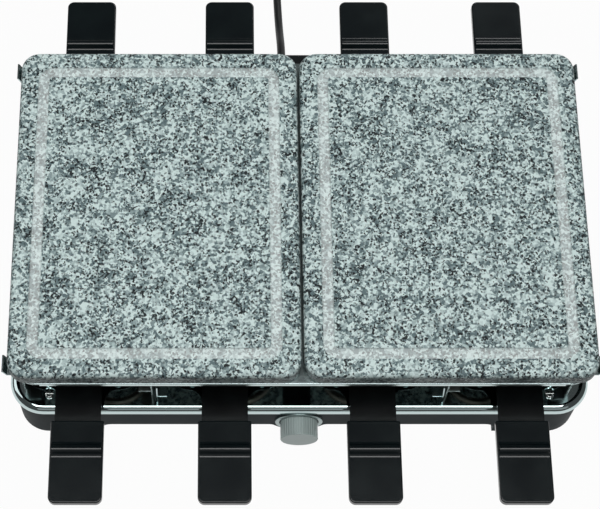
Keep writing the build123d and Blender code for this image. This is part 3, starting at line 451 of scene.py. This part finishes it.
@dataclass(frozen=True)
class SheetMetal:
    """Bare rolled or polished metal: its colour is its reflection, broken a little by fine lines.

    Attributes:
        spread: How far the roughness varies either way.
        line_pitch: Distance between the fine lines.
        bump: Strength of their relief.
    """

    name: str
    colour: str
    roughness: float
    spread: float = 0.05
    lay: Lay = Lay.NONE
    line_pitch: float = 0.0008
    bump: float = 0.02

    def build(self) -> bpy.types.Material:
        """Makes the material.

        Returns:
            The finished material.
        """
        material, tree, shader = fresh_material(self.name)
        shader.inputs["Metallic"].default_value = 1.0
        shader.inputs["Base Color"].default_value = srgb(self.colour)
        place = add_node(tree, "ShaderNodeTexCoord").outputs["Object"]
        stretched = add_node(
            tree,
            "ShaderNodeVectorMath",
            {"operation": "MULTIPLY"},
            {0: place, 1: self.lay.value},
        ).outputs["Vector"]
        lines = add_node(
            tree,
            "ShaderNodeTexNoise",
            links={"Vector": stretched, "Scale": 1 / self.line_pitch, "Detail": 3.0},
        ).outputs["Fac"]
        haze = add_node(
            tree,
            "ShaderNodeMapRange",
            links={
                "Value": lines,
                "From Min": NOISE_LOW,
                "From Max": NOISE_HIGH,
                "To Min": max(self.roughness - self.spread, LEAST_ROUGHNESS),
                "To Max": self.roughness + self.spread,
            },
        )
        tree.links.new(haze.outputs["Result"], shader.inputs["Roughness"])
        bump = add_node(
            tree,
            "ShaderNodeBump",
            links={"Height": lines, "Strength": self.bump, "Distance": SKIN_RELIEF},
        )
        tree.links.new(bump.outputs["Normal"], shader.inputs["Normal"])
        return material


@dataclass(frozen=True)
class MouldedFinish:
    """A moulded, sprayed or fired skin with a fine even grain and slight cloudiness.

    Attributes:
        shade: Colour of the darker clouds.
        grain: Size of the grain.
        bump: Strength of its relief.
        coat: Weight of a clear coat.
        clouds_per_metre: How close the clouds lie.
        shade_end: Share of the clouds that takes the shade alone.
        colour_start: Share from which they take the colour alone.
        haze_share: How far the roughness varies either way, as a share of it.
    """

    name: str
    colour: str
    shade: str
    roughness: float
    grain: float = 0.0006
    bump: float = 0.1
    ior: float = 1.5
    metallic: float = 0.0
    coat: float = 0.0
    coat_roughness: float = 0.12
    clouds_per_metre: float = 45.0
    shade_end: float = 0.35
    colour_start: float = 0.65
    haze_share: float = 0.08

    def build(self) -> bpy.types.Material:
        """Makes the material.

        Returns:
            The finished material.
        """
        material, tree, shader = fresh_material(self.name)
        place = add_node(tree, "ShaderNodeTexCoord").outputs["Object"]
        cloud = add_node(
            tree,
            "ShaderNodeTexNoise",
            links={"Vector": place, "Scale": self.clouds_per_metre, "Detail": 4.0},
        ).outputs["Fac"]
        stops = [(self.shade_end, self.shade), (self.colour_start, self.colour)]
        colour = colour_ramp(tree, cloud, stops)
        tree.links.new(colour, shader.inputs["Base Color"])
        haze = add_node(
            tree,
            "ShaderNodeMapRange",
            links={
                "Value": cloud,
                "From Min": NOISE_LOW,
                "From Max": NOISE_HIGH,
                "To Min": self.roughness * (1 - self.haze_share),
                "To Max": self.roughness * (1 + self.haze_share),
            },
        )
        tree.links.new(haze.outputs["Result"], shader.inputs["Roughness"])
        shader.inputs["IOR"].default_value = self.ior
        shader.inputs["Metallic"].default_value = self.metallic
        shader.inputs["Coat Weight"].default_value = self.coat
        shader.inputs["Coat Roughness"].default_value = self.coat_roughness
        grain = add_node(
            tree,
            "ShaderNodeTexNoise",
            links={"Vector": place, "Scale": 1 / self.grain, "Detail": 2.0},
        ).outputs["Fac"]
        bump = add_node(
            tree,
            "ShaderNodeBump",
            links={"Height": grain, "Strength": self.bump, "Distance": SKIN_RELIEF},
        )
        tree.links.new(bump.outputs["Normal"], shader.inputs["Normal"])
        return material


# Deep-drawn stainless steel, buffed to a mirror: it shows the granite's underside.
MIRROR_STEEL = SheetMetal("mirror_stainless_steel", "#bccccc", 0.07, 0.03, Lay.ACROSS)
# Cold-rolled bright steel of the frame and dividers: soft reflections with faint rolling lines.
BRIGHT_STEEL = SheetMetal("bright_rolled_steel", "#b6c6c6", 0.2, 0.06, Lay.ACROSS)
# Zinc-plated sheet of the hidden ironwork: greyer and hazier.
ZINC_STEEL = SheetMetal("zinc_plated_steel", "#a8acab", 0.38, 0.1, Lay.NONE, 0.004)
# Nickelled screws.
NICKEL = SheetMetal("nickelled_steel", "#c8ccca", 0.16, 0.05)
# Heater sheath of nickel alloy, dulled and browned by heat.
HEAT_DULLED = SheetMetal("heat_dulled_alloy", "#5d5952", 0.45, 0.1, Lay.NONE, 0.006, 0.08)
# Steel screws and plates near the heat, blackened in oil.
BLACKENED = SheetMetal("oil_blackened_steel", "#33393a", 0.38, 0.08)
# Satin ring of anodised aluminium round the knob.
ANODISED_RING = SheetMetal("anodised_aluminium", "#8c9a99", 0.3, 0.05)
# Nickelled brass of the plug's pins.
PLATED_BRASS = SheetMetal("nickelled_brass", "#c9c2a8", 0.2, 0.04)
# Silver metallic lacquer over the base housing, its colour painted near black as a painted dark
# reflection; aluminium flake gives a broad soft sheen.
SILVER_LACQUER_PAINTED_DARK = MouldedFinish(
    "silver_lacquer_painted_dark_reflection", "#222f33", "#1c282c", 0.5, 0.0005, 0.05, 1.12
)
# Non-stick coating sprayed and baked on the pans: smooth, deep black, glossy.
NON_STICK = MouldedFinish("non_stick_coating", "#0b0e0f", "#090b0c", 0.2, 0.0009, 0.04, 1.45)
# Phenolic of the pan grips, moulded with a fine satin texture.
PHENOLIC = MouldedFinish("moulded_phenolic", "#0e1719", "#0a1215", 0.19, 0.0007, 0.12, 1.45)
# Knob of ABS sprayed satin silver.
SPRAYED_ABS = MouldedFinish(
    "silver_sprayed_abs", "#aebcba", "#a6b4b2", 0.4, 0.0004, 0.05, 1.5, 0.25
)
# Glass-filled polyamide of the terminal cover and plug: matte black.
POLYAMIDE = MouldedFinish("glass_filled_polyamide", "#0b1113", "#090e10", 0.28, 0.0008, 0.1, 1.45)
# Rubber-sheathed cable and its gland: matte with a faint bloom.
CABLE_RUBBER = MouldedFinish("cable_rubber", "#0d1214", "#0a0f11", 0.5, 0.0012, 0.15)
# Moulded rubber feet.
FOOT_RUBBER = MouldedFinish("foot_rubber", "#1a1b1b", "#161717", 0.7, 0.001, 0.2)
# Steatite terminal block: cream, unglazed, chalky.
STEATITE = MouldedFinish("steatite", "#e2dccb", "#d8d1be", 0.6, 0.0008, 0.15)
# Thermostat's moulded body: pale urea resin.
UREA_RESIN = MouldedFinish("urea_resin", "#cfc7b2", "#c6bda7", 0.45, 0.0009, 0.1)
# Woven glass sleeving on the inner wires.
GLASS_SLEEVE = MouldedFinish("woven_glass_sleeve", "#c9c3b0", "#b4ae9b", 0.75, 0.0009, 0.5)

Finish = HonedGranite | SheetMetal | MouldedFinish


class Wardrobe:
    """Builds each finish once and puts it on the frame's nodes."""

    def __init__(self, nodes: dict[str, bpy.types.Object]) -> None:
        """Keeps the frame's nodes."""
        self.nodes = nodes
        self.made: dict[str, bpy.types.Material] = {}

    def material(self, finish: Finish) -> bpy.types.Material:
        """Gives the finish's material, and makes it the first time.

        Args:
            finish: The finish that is wanted.

        Returns:
            Its one material.
        """
        if finish.name not in self.made:
            self.made[finish.name] = finish.build()
        return self.made[finish.name]

    def dress(self, node: str, finish: Finish) -> None:
        """Puts a finish on a frame node.

        Args:
            node: The node's name.
            finish: The finish that it takes.
        """
        mesh = self.nodes[node].data
        mesh.materials.clear()
        mesh.materials.append(self.material(finish))
        LOG.info("dressed %s in %s", node, finish.name)


# Sub-assemblies


@dataclass
class CookingTop:
    """The granite plates and the sheet-steel frame that carries them over the heating elements."""

    sides: tuple[str, str] = SIDES
    ends: tuple[str, str] = ENDS

    def build(self, wardrobe: Wardrobe) -> None:
        """Dresses the plates, the frame and what hangs under it.

        Args:
            wardrobe: Holds the frame's nodes and the finishes.
        """
        wardrobe.dress("top_frame", BRIGHT_STEEL)
        wardrobe.dress("frame_screws", NICKEL)
        for side in self.sides:
            wardrobe.dress(f"stone_{side}", HonedGranite())
            wardrobe.dress(f"heating_element_{side}", HEAT_DULLED)
            for end in self.ends:
                wardrobe.dress(f"element_hanger_{end}_{side}", ZINC_STEEL)
        wardrobe.dress("terminal_cover", POLYAMIDE)
        wardrobe.dress("cover_screws", NICKEL)
        wardrobe.dress("terminal_block", STEATITE)


@dataclass
class PanDeck:
    """The polished deck with its posts, side panels, dividers and wire riser."""

    sides: tuple[str, str] = SIDES
    ends: tuple[str, str] = ENDS

    def build(self, wardrobe: Wardrobe) -> None:
        """Dresses the deck and what stands on it.

        Args:
            wardrobe: Holds the frame's nodes and the finishes.
        """
        wardrobe.dress("deck_tray", MIRROR_STEEL)
        wardrobe.dress("tray_screws", NICKEL)
        wardrobe.dress("deck_screws", BLACKENED)
        for side in self.sides:
            wardrobe.dress(f"side_panel_{side}", ZINC_STEEL)
            wardrobe.dress(f"bay_divider_{side}", BRIGHT_STEEL)
            for end in self.ends:
                wardrobe.dress(f"support_post_{end}_{side}", ZINC_STEEL)
        wardrobe.dress("wire_riser", ZINC_STEEL)


@dataclass
class BaseHousing:
    """The lacquered base with its feet, the thermostat and the inner wiring."""

    wires: tuple[str, str, str] = ("live", "switched", "neutral")

    def build(self, wardrobe: Wardrobe) -> None:
        """Dresses the base and what it holds.

        Args:
            wardrobe: Holds the frame's nodes and the finishes.
        """
        # The housing's dark colour is a painted reflection of dark surroundings.
        wardrobe.dress("base_shell", SILVER_LACQUER_PAINTED_DARK)
        wardrobe.dress("bottom_plate", ZINC_STEEL)
        wardrobe.dress("bottom_screws", NICKEL)
        wardrobe.dress("rubber_feet", FOOT_RUBBER)
        wardrobe.dress("knob", SPRAYED_ABS)
        wardrobe.dress("knob_bezel", ANODISED_RING)
        wardrobe.dress("thermostat_body", UREA_RESIN)
        wardrobe.dress("thermostat_nut", NICKEL)
        wardrobe.dress("thermostat_shaft", NICKEL)
        for wire in self.wires:
            wardrobe.dress(f"wire_{wire}", GLASS_SLEEVE)
        wardrobe.dress("gland_nut", ZINC_STEEL)


@dataclass
class PanSet:
    """Eight pans with their grips, four in front and four behind."""

    ends: tuple[str, str] = ENDS
    per_end: int = 4

    def build(self, wardrobe: Wardrobe) -> None:
        """Dresses the pans and their grips.

        Args:
            wardrobe: Holds the frame's nodes and the finishes.
        """
        for end in self.ends:
            for number in range(1, self.per_end + 1):
                wardrobe.dress(f"pan_{end}_{number}", NON_STICK)
                wardrobe.dress(f"grip_{end}_{number}", PHENOLIC)


@dataclass
class MainsLead:
    """The lead from its gland to its plug, with the part out of sight wound up on the table.

    Attributes:
        laid: Points from the gland to where the coil starts.
        coil_radius: From the coil's middle to its outermost turn.
        pitch: Distance between two turns, sideways or upwards.
        steps: How many pitches inside the outermost turn each crossing lies.
        tail: Points after the last crossing, counted from it.
        profile_steps: Resolution of the sheath's round profile.
        route_steps: Resolution along the route.
    """

    diameter: float = 0.0072
    length: float = 1.49
    laid: list[Point] = field(
        default_factory=lambda: [
            (-0.010, 0.174, 0.033),
            (-0.010, 0.2015, 0.033),
            (-0.011, 0.240, 0.0036),
            (-0.013, 0.286, 0.0036),
        ]
    )
    coil_centre: tuple[float, float] = (-0.061, 0.334)
    coil_radius: float = 0.048
    pitch: float = 0.00775
    steps: tuple[float, ...] = (0, 0.5, 1, 1.5, 2.25, 2.25, 1.5, 1, 0.5, 0, -0.5)
    points_per_half_turn: int = 8
    tail: list[Point] = field(
        default_factory=lambda: [
            (0.0, 0.0222, 0.0),
            (0.0, 0.0442, 0.00705),
            (0.0, 0.0642, 0.00705),
        ]
    )
    profile_steps: int = 5
    route_steps: int = 6

    def build(self, wardrobe: Wardrobe) -> None:
        """Makes the lead as one smooth curve and dresses its gland and plug.

        Args:
            wardrobe: Holds the frame's nodes and the finishes.
        """
        wardrobe.dress("cord_gland", CABLE_RUBBER)
        wardrobe.dress("plug_body", POLYAMIDE)
        wardrobe.dress("plug_pins", PLATED_BRASS)
        route = self.route()
        curve = bpy.data.curves.new("mains_lead", "CURVE")
        curve.dimensions = "3D"
        curve.bevel_depth = self.diameter / 2
        curve.bevel_resolution = self.profile_steps
        curve.resolution_u = self.route_steps
        curve.use_fill_caps = True
        spline = curve.splines.new("NURBS")
        spline.points.add(len(route) - 1)
        for point, place in zip(spline.points, route):
            point.co = (*place, 1.0)
        spline.order_u = 3
        spline.use_endpoint_u = True
        curve.materials.append(wardrobe.material(CABLE_RUBBER))
        lead = bpy.data.objects.new("mains_lead", curve)
        bpy.context.scene.collection.objects.link(lead)
        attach(lead, "base")
        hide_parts("power_cord", "cord_coil", "cord_tail")
        LOG.info("laid the mains lead along %d points", len(route))

    def crossings(self) -> list[Vector]:
        """Gives the points where the coil crosses its middle line, right and left in turn.

        Returns:
            The crossings, the lower layer's before the upper one's.
        """
        places = []
        for number, step in enumerate(self.steps):
            side = 1 if number % 2 == 0 else -1
            layer = 0 if number < len(self.steps) // 2 else 1
            places.append(
                Vector(
                    (
                        self.coil_centre[0] + side * (self.coil_radius - step * self.pitch),
                        self.coil_centre[1],
                        self.diameter / 2 + layer * self.pitch,
                    )
                )
            )
        return places

    def route(self) -> list[Point]:
        """Gives the lead's points from the gland to the plug.

        Returns:
            The laid points, the coil's turns and the tail that rises to the plug.
        """
        points = list(self.laid)
        crossings = self.crossings()
        count = self.points_per_half_turn
        outward = 1 / math.cos(math.pi / (2 * count))
        for number, (here, there) in enumerate(zip(crossings, crossings[1:])):
            heading = 1 if number % 2 == 0 else -1
            centre = (here + there) / 2
            radius = abs(there.x - here.x) / 2 * outward
            for step in range(count):
                share = (step + 0.5) / count
                angle = math.pi * share
                points.append(
                    (
                        centre.x + heading * radius * math.cos(angle),
                        centre.y + heading * radius * math.sin(angle),
                        here.z + (there.z - here.z) * share,
                    )
                )
        last = crossings[-1]
        for along_x, along_y, rise in self.tail:
            points.append((last.x + along_x, last.y + along_y, last.z + rise))
        return points


@dataclass
class Studio:
    """A grey table seen as white, soft lamps and the camera at the photograph's angle.

    Attributes:
        focal_px: Focal length in the photograph's pixels.
        tilt: Degrees by which the camera looks away from straight down.
        across: Sideways shift of the picture, in picture widths.
        sight: How far the camera sees.
        table_reach: How far the table goes from the grill's middle.
        table_clouds: Clouds in the laminate per metre.
        table_seen: How white the camera and reflections see the table.
        aim: The point that the lamps face.
        lamps: Each lamp's name, place, width and height, and watts.
        ambient: Strength of the surround on the grill.
    """

    image_width: int = 600
    focal_px: float = 1750.0
    sensor: float = 36.0
    camera_place: Point = (-0.059, -0.592, 1.4039)
    tilt: float = 23.4
    across: float = 0.1217
    sight: float = 20.0
    table: str = "#949696"
    table_shade: str = "#8f9191"
    table_roughness: float = 0.8
    table_specular: float = 0.1
    table_reach: float = 6.0
    table_clouds: float = 3.0
    table_seen: float = 0.97
    aim: Point = (0.0, 0.0, 0.1)
    lamps: tuple[tuple[str, Point, tuple[float, float], float], ...] = (
        ("overhead_softbox", (0.0, -0.32, 1.8), (1.5, 0.75), 18.0),
        ("rear_right_softbox", (0.8, 1.75, 1.5), (1.3, 0.8), 12.0),
        ("left_softbox", (-1.4, 0.3, 1.3), (1.0, 1.2), 5.0),
        ("front_softbox", (0.3, -1.7, 1.3), (2.4, 1.0), 2.2),
    )
    ambient: float = 0.08

    def build(self) -> None:
        """Sets up the table, the lamps, the world and the camera."""
        self.lay_table()
        for name, place, size, power in self.lamps:
            self.hang_lamp(name, place, size, power)
        self.light_world()
        self.set_camera()
        bpy.context.scene.view_settings.view_transform = "Standard"

    def lay_table(self) -> None:
        """Makes the table, which the camera sees nearly white and which keeps a faint shadow."""
        mesh = bpy.data.meshes.new("table")
        reach = self.table_reach
        corners = [(-reach, -reach, 0), (reach, -reach, 0), (reach, reach, 0), (-reach, reach, 0)]
        mesh.from_pydata(corners, [], [(0, 1, 2, 3)])
        material, tree, shader = fresh_material("matte_laminate")
        place = add_node(tree, "ShaderNodeTexCoord").outputs["Object"]
        cloud = add_node(
            tree, "ShaderNodeTexNoise", links={"Vector": place, "Scale": self.table_clouds}
        )
        stops = [(NOISE_LOW, self.table_shade), (NOISE_HIGH, self.table)]
        colour = colour_ramp(tree, cloud.outputs["Fac"], stops)
        tree.links.new(colour, shader.inputs["Base Color"])
        shader.inputs["Roughness"].default_value = self.table_roughness
        shader.inputs["Specular IOR Level"].default_value = self.table_specular
        rays = add_node(tree, "ShaderNodeLightPath")
        mirrored = add_node(
            tree,
            "ShaderNodeMath",
            {"operation": "MAXIMUM"},
            {0: rays.outputs["Is Glossy Ray"], 1: rays.outputs["Is Transmission Ray"]},
        )
        seen = add_node(
            tree,
            "ShaderNodeMath",
            {"operation": "MAXIMUM"},
            {0: rays.outputs["Is Camera Ray"], 1: mirrored.outputs["Value"]},
        )
        share = add_node(
            tree,
            "ShaderNodeMath",
            {"operation": "MULTIPLY"},
            {0: seen.outputs["Value"], 1: self.table_seen},
        )
        glow = add_node(tree, "ShaderNodeEmission", links={"Color": (1, 1, 1, 1), "Strength": 1.0})
        mix = add_node(
            tree,
            "ShaderNodeMixShader",
            links={
                0: share.outputs["Value"],
                1: shader.outputs["BSDF"],
                2: glow.outputs["Emission"],
            },
        )
        tree.links.new(mix.outputs["Shader"], tree.nodes["Material Output"].inputs["Surface"])
        mesh.materials.append(material)
        table = bpy.data.objects.new("table", mesh)
        bpy.context.scene.collection.objects.link(table)

    def hang_lamp(self, name: str, place: Point, size: tuple[float, float], power: float) -> None:
        """Hangs one soft lamp that faces the grill.

        Args:
            name: The lamp's name.
            place: Where it hangs.
            size: Its width and height.
            power: Its power in watts.
        """
        light = bpy.data.lights.new(name, "AREA")
        light.shape = "RECTANGLE"
        light.size, light.size_y = size
        light.energy = power
        lamp = bpy.data.objects.new(name, light)
        lamp.location = place
        towards = Vector(self.aim) - Vector(place)
        lamp.rotation_euler = towards.to_track_quat("-Z", "Y").to_euler()
        bpy.context.scene.collection.objects.link(lamp)

    def light_world(self) -> None:
        """Gives a dim surround that the camera sees as white."""
        world = bpy.data.worlds.new("studio")
        bpy.context.scene.world = world
        world.use_nodes = True
        tree = world.node_tree
        background = tree.nodes["Background"]
        rays = add_node(tree, "ShaderNodeLightPath")
        strength = add_node(
            tree,
            "ShaderNodeMapRange",
            links={"Value": rays.outputs["Is Camera Ray"], "To Min": self.ambient, "To Max": 1.0},
        )
        background.inputs["Color"].default_value = (1, 1, 1, 1)
        tree.links.new(strength.outputs["Result"], background.inputs["Strength"])

    def set_camera(self) -> None:
        """Puts the camera where the photograph was taken from."""
        camera_data = bpy.data.cameras.new("camera")
        camera_data.sensor_width = self.sensor
        camera_data.lens = self.sensor * self.focal_px / self.image_width
        camera_data.shift_x = self.across
        camera_data.clip_end = self.sight
        camera = bpy.data.objects.new("camera", camera_data)
        camera.location = self.camera_place
        camera.rotation_euler = (math.radians(self.tilt), 0.0, 0.0)
        bpy.context.scene.collection.objects.link(camera)
        bpy.context.scene.camera = camera


def main() -> None:
    """Loads the frame, dresses it and sets the studio up around it."""
    logging.basicConfig(level=logging.INFO, format="%(name)s: %(message)s")
    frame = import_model()
    wardrobe = Wardrobe(frame["nodes"])
    for assembly in (CookingTop(), PanDeck(), BaseHousing(), PanSet(), MainsLead()):
        assembly.build(wardrobe)
        LOG.info("%s done", type(assembly).__name__)
    Studio().build()


if __name__ == "__main__":
    main()
